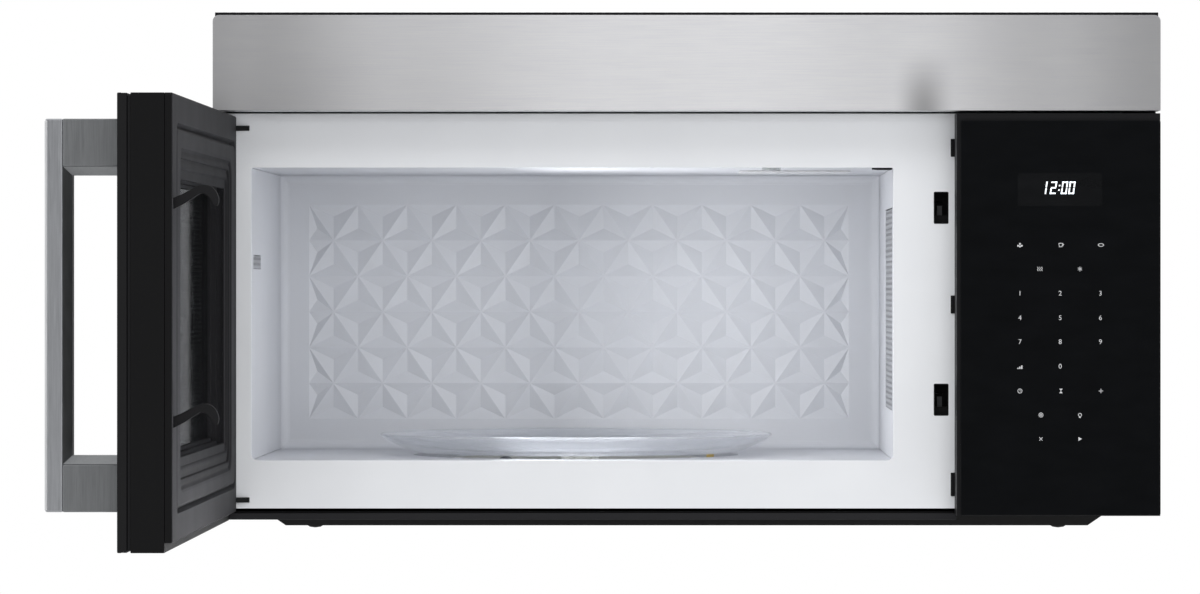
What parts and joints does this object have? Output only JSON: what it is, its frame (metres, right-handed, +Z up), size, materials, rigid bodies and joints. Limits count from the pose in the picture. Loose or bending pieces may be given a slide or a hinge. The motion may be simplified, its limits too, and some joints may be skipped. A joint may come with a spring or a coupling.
{
  "type": "over the range microwave oven",
  "caption": "Wall-hung microwave oven and vent hood with a side-hinged door, glass turntable, latch hooks, control panel and underside grease filters.",
  "frame": {"origin": "centre line of the rear wall face, half way up the front body", "axes": "+X to the right seen from the front, +Y into the wall, +Z up"},
  "size_m": [0.8372, 0.9617, 0.4161],
  "materials": {
    "stainless_steel": "horizontal brushed",
    "galvanised_steel": "plain galvanised",
    "white_enamel": "smooth semi gloss",
    "cavity_enamel": "smooth satin",
    "dark_paint": "satin powder coat",
    "black_plastic": "fine moulded",
    "black_glass": "polished, printed black behind",
    "clear_glass": "pressed",
    "tinted_glass": "tinted",
    "display_black": "smooth",
    "nylon": "moulded",
    "circuit_board": "solder resist",
    "aluminium": "plain",
    "charcoal": "granular",
    "lacquered_copper": "lacquered winding",
    "mica": "flaky",
    "spring_steel": "drawn wire"
  },
  "bodies": {
    "cabinet": {"outer_wrap": "dark_paint", "rear_panel": "galvanised_steel", "cord_gland": "black_plastic", "front_frame": "white_enamel", "lower_front_rail": "black_plastic", "base_pan": "dark_paint", "bay_floor_plate": "galvanised_steel", "cavity_ceiling": "cavity_enamel", "cavity_floor": "cavity_enamel", "cavity_left_wall": "cavity_enamel", "cavity_right_wall": "cavity_enamel", "cavity_back_wall": "cavity_enamel", "waveguide": "galvanised_steel", "waveguide_cover": "mica", "magnetron": "aluminium", "magnetron_fan_housing": "black_plastic", "magnetron_fan_motor": "galvanised_steel", "hv_transformer": "lacquered_copper", "hv_capacitor": "aluminium", "control_bezel": "black_plastic", "control_glass": "black_glass", "display_module": "display_black", "control_board": "circuit_board", "vent_grille": "stainless_steel", "grille_louver_frame": "black_plastic", "charcoal_filter": "charcoal", "blower_motor": "galvanised_steel", "blower_housing_left": "galvanised_steel", "blower_housing_right": "galvanised_steel", "cooktop_lamp": "nylon", "turntable_motor": "galvanised_steel", "hinge_upper": "galvanised_steel", "hinge_lower": "galvanised_steel", "interlock_bracket": "black_plastic", "door_switch_upper": "black_plastic", "door_switch_lower": "black_plastic"},
    "door": {"door_glass": "black_glass", "door_shell": "black_plastic", "door_choke_frame": "galvanised_steel", "door_inner_cover": "black_plastic", "door_inner_window": "tinted_glass", "door_handle": "stainless_steel", "latch_spring": "spring_steel"},
    "latch": {"latch_bar": "black_plastic"},
    "cooling_fan": {"magnetron_fan_wheel": "black_plastic"},
    "blower_rotor": {"blower_shaft": "galvanised_steel", "blower_wheel_left": "black_plastic", "blower_wheel_right": "black_plastic"},
    "turntable_hub": {"turntable_coupler": "nylon"},
    "tray": {"glass_tray": "clear_glass"},
    "ring": {"roller_ring": "nylon"},
    "roller_a": {"roller_1": "nylon"},
    "roller_b": {"roller_2": "nylon"},
    "roller_c": {"roller_3": "nylon"},
    "filter_left": {"grease_filter_left": "aluminium"},
    "filter_right": {"grease_filter_right": "aluminium"},
    "lamp_cover": {"cooktop_lamp_cover": "clear_glass"},
    "lever_upper": {"interlock_lever_upper": "nylon"},
    "lever_lower": {"interlock_lever_lower": "nylon"}
  },
  "joints": [
    {"name": "door_hinge", "type": "hinge", "parent": "cabinet", "child": "door", "pos_m": [-0.3722, -0.3745, 0], "axis": [0, 0, 1], "range_deg": [-10, 90]},
    {"name": "latch_lift", "type": "slide", "parent": "door", "child": "latch", "axis": [0, 0, 1], "range_m": [0, 0.005], "stiffness_N_per_m": 150, "springref_m": -0.01, "deforming": ["latch_spring"]},
    {"name": "fan_spin", "type": "hinge", "parent": "cabinet", "child": "cooling_fan", "pos_m": [0.2221, -0.122, 0.03435], "axis": [0, 1, 0], "continuous": true},
    {"name": "blower_spin", "type": "hinge", "parent": "cabinet", "child": "blower_rotor", "pos_m": [0, -0.07, 0.13145], "axis": [1, 0, 0], "continuous": true},
    {"name": "turntable_spin", "type": "hinge", "parent": "cabinet", "child": "turntable_hub", "pos_m": [-0.09235, -0.1915, -0.16165], "axis": [0, 0, 1], "continuous": true},
    {"name": "tray_lift", "type": "slide", "parent": "turntable_hub", "child": "tray", "axis": [0, 0, 1], "range_m": [0, 0.03]},
    {"name": "roller_ring_spin", "type": "hinge", "parent": "cabinet", "child": "ring", "pos_m": [-0.09235, -0.1915, -0.16395], "axis": [0, 0, 1], "continuous": true},
    {"name": "roller_a_spin", "type": "hinge", "parent": "ring", "child": "roller_a", "pos_m": [0.01965, -0.1915, -0.16395], "axis": [1, 0, 0], "continuous": true},
    {"name": "roller_b_spin", "type": "hinge", "parent": "ring", "child": "roller_b", "pos_m": [-0.14835, -0.09451, -0.16395], "axis": [-0.5, 0.866, 0], "continuous": true},
    {"name": "roller_c_spin", "type": "hinge", "parent": "ring", "child": "roller_c", "pos_m": [-0.14835, -0.2885, -0.16395], "axis": [-0.5, -0.866, 0], "continuous": true},
    {"name": "filter_left_drop", "type": "slide", "parent": "cabinet", "child": "filter_left", "axis": [0, 0, -1], "range_m": [0, 0.03]},
    {"name": "filter_right_drop", "type": "slide", "parent": "cabinet", "child": "filter_right", "axis": [0, 0, -1], "range_m": [0, 0.03]},
    {"name": "lamp_cover_hinge", "type": "hinge", "parent": "cabinet", "child": "lamp_cover", "pos_m": [0, -0.2902, -0.20955], "axis": [1, 0, 0], "range_deg": [0, 80]},
    {"name": "lever_upper_press", "type": "hinge", "parent": "cabinet", "child": "lever_upper", "pos_m": [0.2055, -0.337, 0.01775], "axis": [-1, 0, 0], "range_deg": [0, 6], "stiffness_Nm_per_rad": 0.02, "springref_deg": -5.73},
    {"name": "lever_lower_press", "type": "hinge", "parent": "cabinet", "child": "lever_lower", "pos_m": [0.2055, -0.337, -0.13725], "axis": [-1, 0, 0], "range_deg": [0, 6], "stiffness_Nm_per_rad": 0.02, "springref_deg": -5.73}
  ],
  "couplings": [
    {"joint": "roller_ring_spin", "follows": "turntable_spin", "ratio": 0.5},
    {"joint": "roller_a_spin", "follows": "turntable_spin", "ratio": -8},
    {"joint": "roller_b_spin", "follows": "turntable_spin", "ratio": -8},
    {"joint": "roller_c_spin", "follows": "turntable_spin", "ratio": -8}
  ]
}
